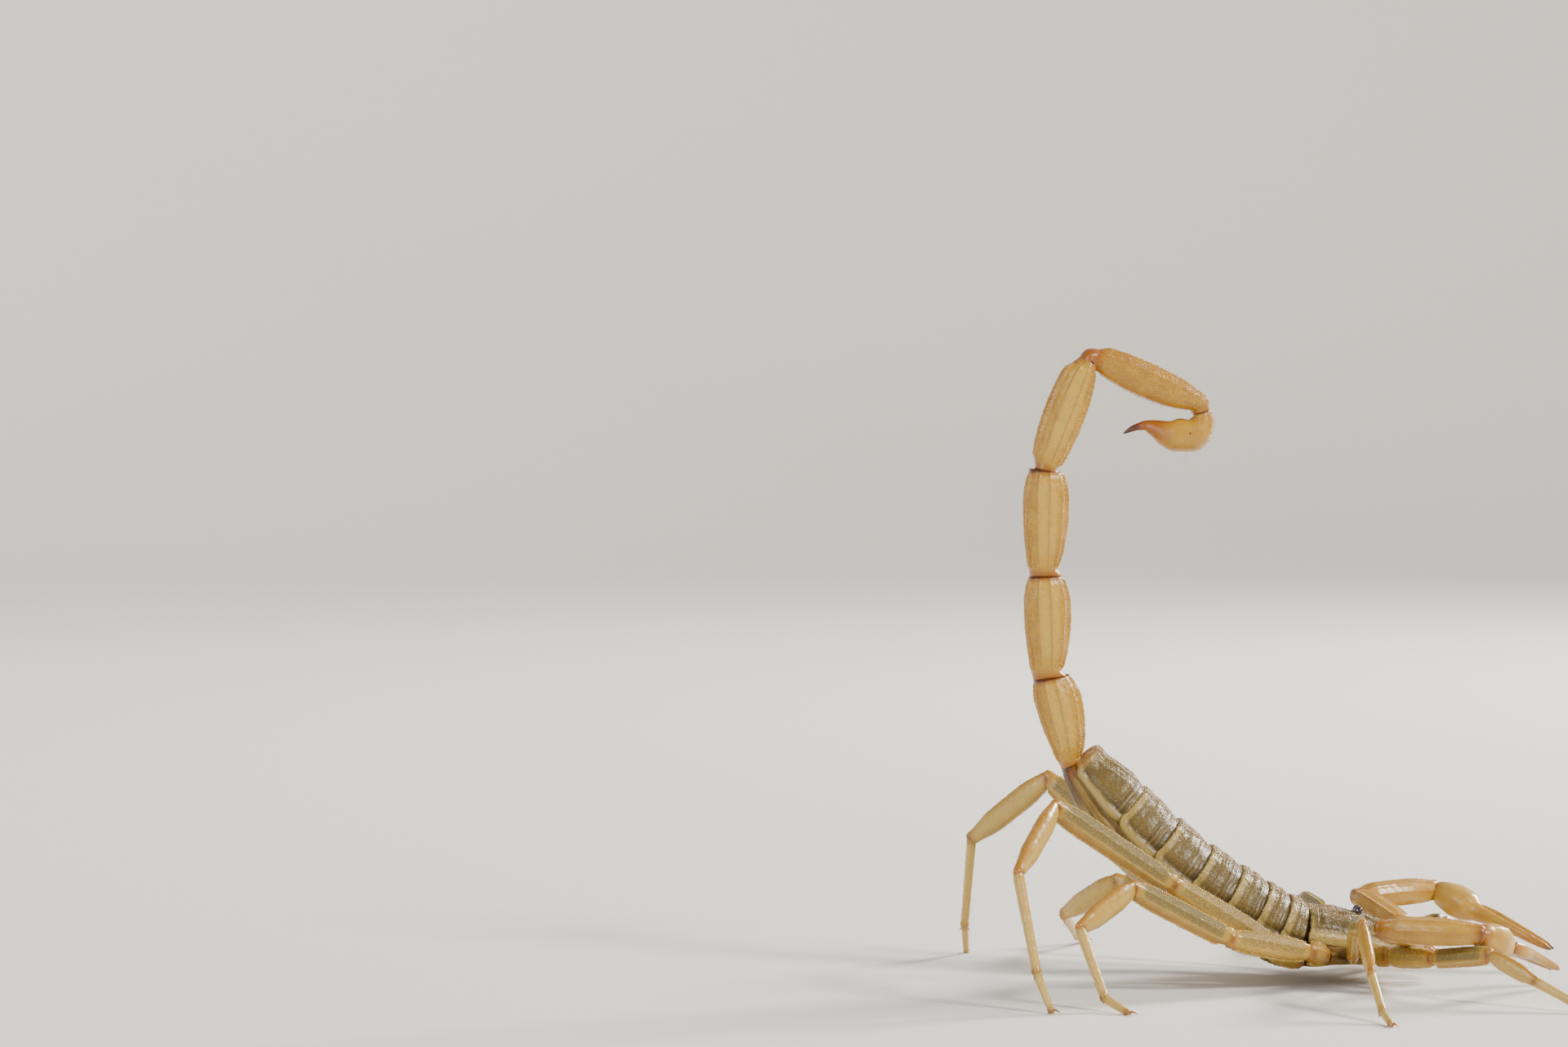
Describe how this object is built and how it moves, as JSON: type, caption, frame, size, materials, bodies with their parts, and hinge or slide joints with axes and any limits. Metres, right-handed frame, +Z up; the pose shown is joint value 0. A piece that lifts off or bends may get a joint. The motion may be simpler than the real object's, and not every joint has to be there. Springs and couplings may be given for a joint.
{
  "type": "scorpion",
  "caption": "Life-size museum-type model of a pale thick-tailed desert scorpion, body sloping head down with the tail raised upright and its sting curled forward over the back",
  "frame": {"origin": "Middle of the bounding box in plan, on the floor that the claws stand on", "axes": "+X is the way the animal faces, +Y its left side, +Z up. The legs' span lies along Y, the body and tail in the XZ plane"},
  "size_m": [0.0554, 0.0672, 0.0586],
  "materials": {
    "back_plates": "olive-brown hard cuticle, finely granular, with raised straw-yellow margins and smooth purplish-grey front bands",
    "underside": "yellow-olive cuticle, smooth, with soft olive side folds",
    "tail": "ochre-yellow hard cuticle, keeled and granular with glossy grains, red-brown at the joints",
    "sting": "smooth dark red-brown, glossy",
    "legs": "pale ochre cuticle, finely serrated edges, orange joints",
    "pincers": "ochre cuticle with darker finger tips",
    "eyes": "polished black"
  },
  "bodies": {
    "root": {"tergite_1": "back_plates", "tergite_2": "back_plates", "tergite_3": "back_plates", "tergite_4": "back_plates", "tergite_5": "back_plates", "tergite_6": "back_plates", "tergite_7": "back_plates", "carapace": "back_plates", "belly": "underside", "chest": "underside", "pecten_right": "underside", "pecten_left": "underside", "metasoma_1": "tail", "metasoma_2": "tail", "metasoma_3": "tail", "metasoma_4": "tail", "metasoma_5": "tail", "telson_bulb": "tail", "telson_sting": "sting", "eye_right": "eyes", "chelicera_right": "pincers", "chelicera_finger_right": "pincers", "pedipalp_right_trochanter": "pincers", "pedipalp_right_femur": "pincers", "pedipalp_right_patella": "pincers", "pedipalp_right_hand": "pincers", "pedipalp_right_finger": "pincers", "leg_right_1_femur": "legs", "leg_right_1_patella": "legs", "leg_right_1_tarsus": "legs", "leg_right_2_femur": "legs", "leg_right_2_patella": "legs", "leg_right_2_tarsus": "legs", "leg_right_3_femur": "legs", "leg_right_3_patella": "legs", "leg_right_3_tarsus": "legs", "leg_right_4_femur": "legs", "leg_right_4_patella": "legs", "leg_right_4_tarsus": "legs", "eye_left": "eyes", "chelicera_left": "pincers", "chelicera_finger_left": "pincers", "pedipalp_left_trochanter": "pincers", "pedipalp_left_femur": "pincers", "pedipalp_left_patella": "pincers", "pedipalp_left_hand": "pincers", "pedipalp_left_finger": "pincers", "leg_left_1_femur": "legs", "leg_left_1_patella": "legs", "leg_left_1_tarsus": "legs", "leg_left_2_femur": "legs", "leg_left_2_patella": "legs", "leg_left_2_tarsus": "legs", "leg_left_3_femur": "legs", "leg_left_3_patella": "legs", "leg_left_3_tarsus": "legs", "leg_left_4_femur": "legs", "leg_left_4_patella": "legs", "leg_left_4_tarsus": "legs"}
  },
  "joints": []
}
